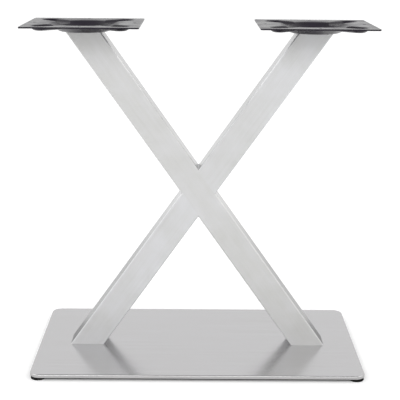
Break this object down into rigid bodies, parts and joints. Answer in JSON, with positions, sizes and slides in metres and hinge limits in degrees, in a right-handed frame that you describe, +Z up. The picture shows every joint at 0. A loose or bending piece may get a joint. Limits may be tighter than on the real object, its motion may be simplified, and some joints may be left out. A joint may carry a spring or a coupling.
{
  "type": "x shaped table leg",
  "caption": "X shaped table leg of crossed square steel tubes on a weighted rectangular base, with pressed square plates on top that screw to a table top.",
  "frame": {"origin": "middle of the footprint, on the floor", "axes": "+Z up, +X along the long side of the base, front of the X faces -Y"},
  "size_m": [0.722, 0.4, 0.72],
  "materials": {
    "cover_steel": "satin brushed along the base",
    "through_steel": "satin brushed along the tube",
    "branch_steel": "satin brushed along the tube",
    "mill_steel": "mill",
    "plate_black": "gloss",
    "ballast_black": "satin",
    "foot_black": "matt",
    "zinc_steel": "zinc plated"
  },
  "bodies": {
    "root": {"base_cover": "cover_steel", "ballast_plate": "ballast_black", "through_tube": "through_steel", "upper_branch_tube": "branch_steel", "lower_branch_tube": "branch_steel", "left_top_end_plate": "mill_steel", "right_top_end_plate": "mill_steel", "left_bottom_end_plate": "mill_steel", "right_bottom_end_plate": "mill_steel", "left_top_plate": "plate_black", "right_top_plate": "plate_black", "left_top_bolts": "zinc_steel", "right_top_bolts": "zinc_steel", "left_top_washers": "zinc_steel", "right_top_washers": "zinc_steel", "left_base_screws": "zinc_steel", "right_base_screws": "zinc_steel", "front_left_foot": "foot_black", "front_right_foot": "foot_black", "back_left_foot": "foot_black", "back_right_foot": "foot_black", "foot_screws": "zinc_steel"}
  },
  "joints": []
}
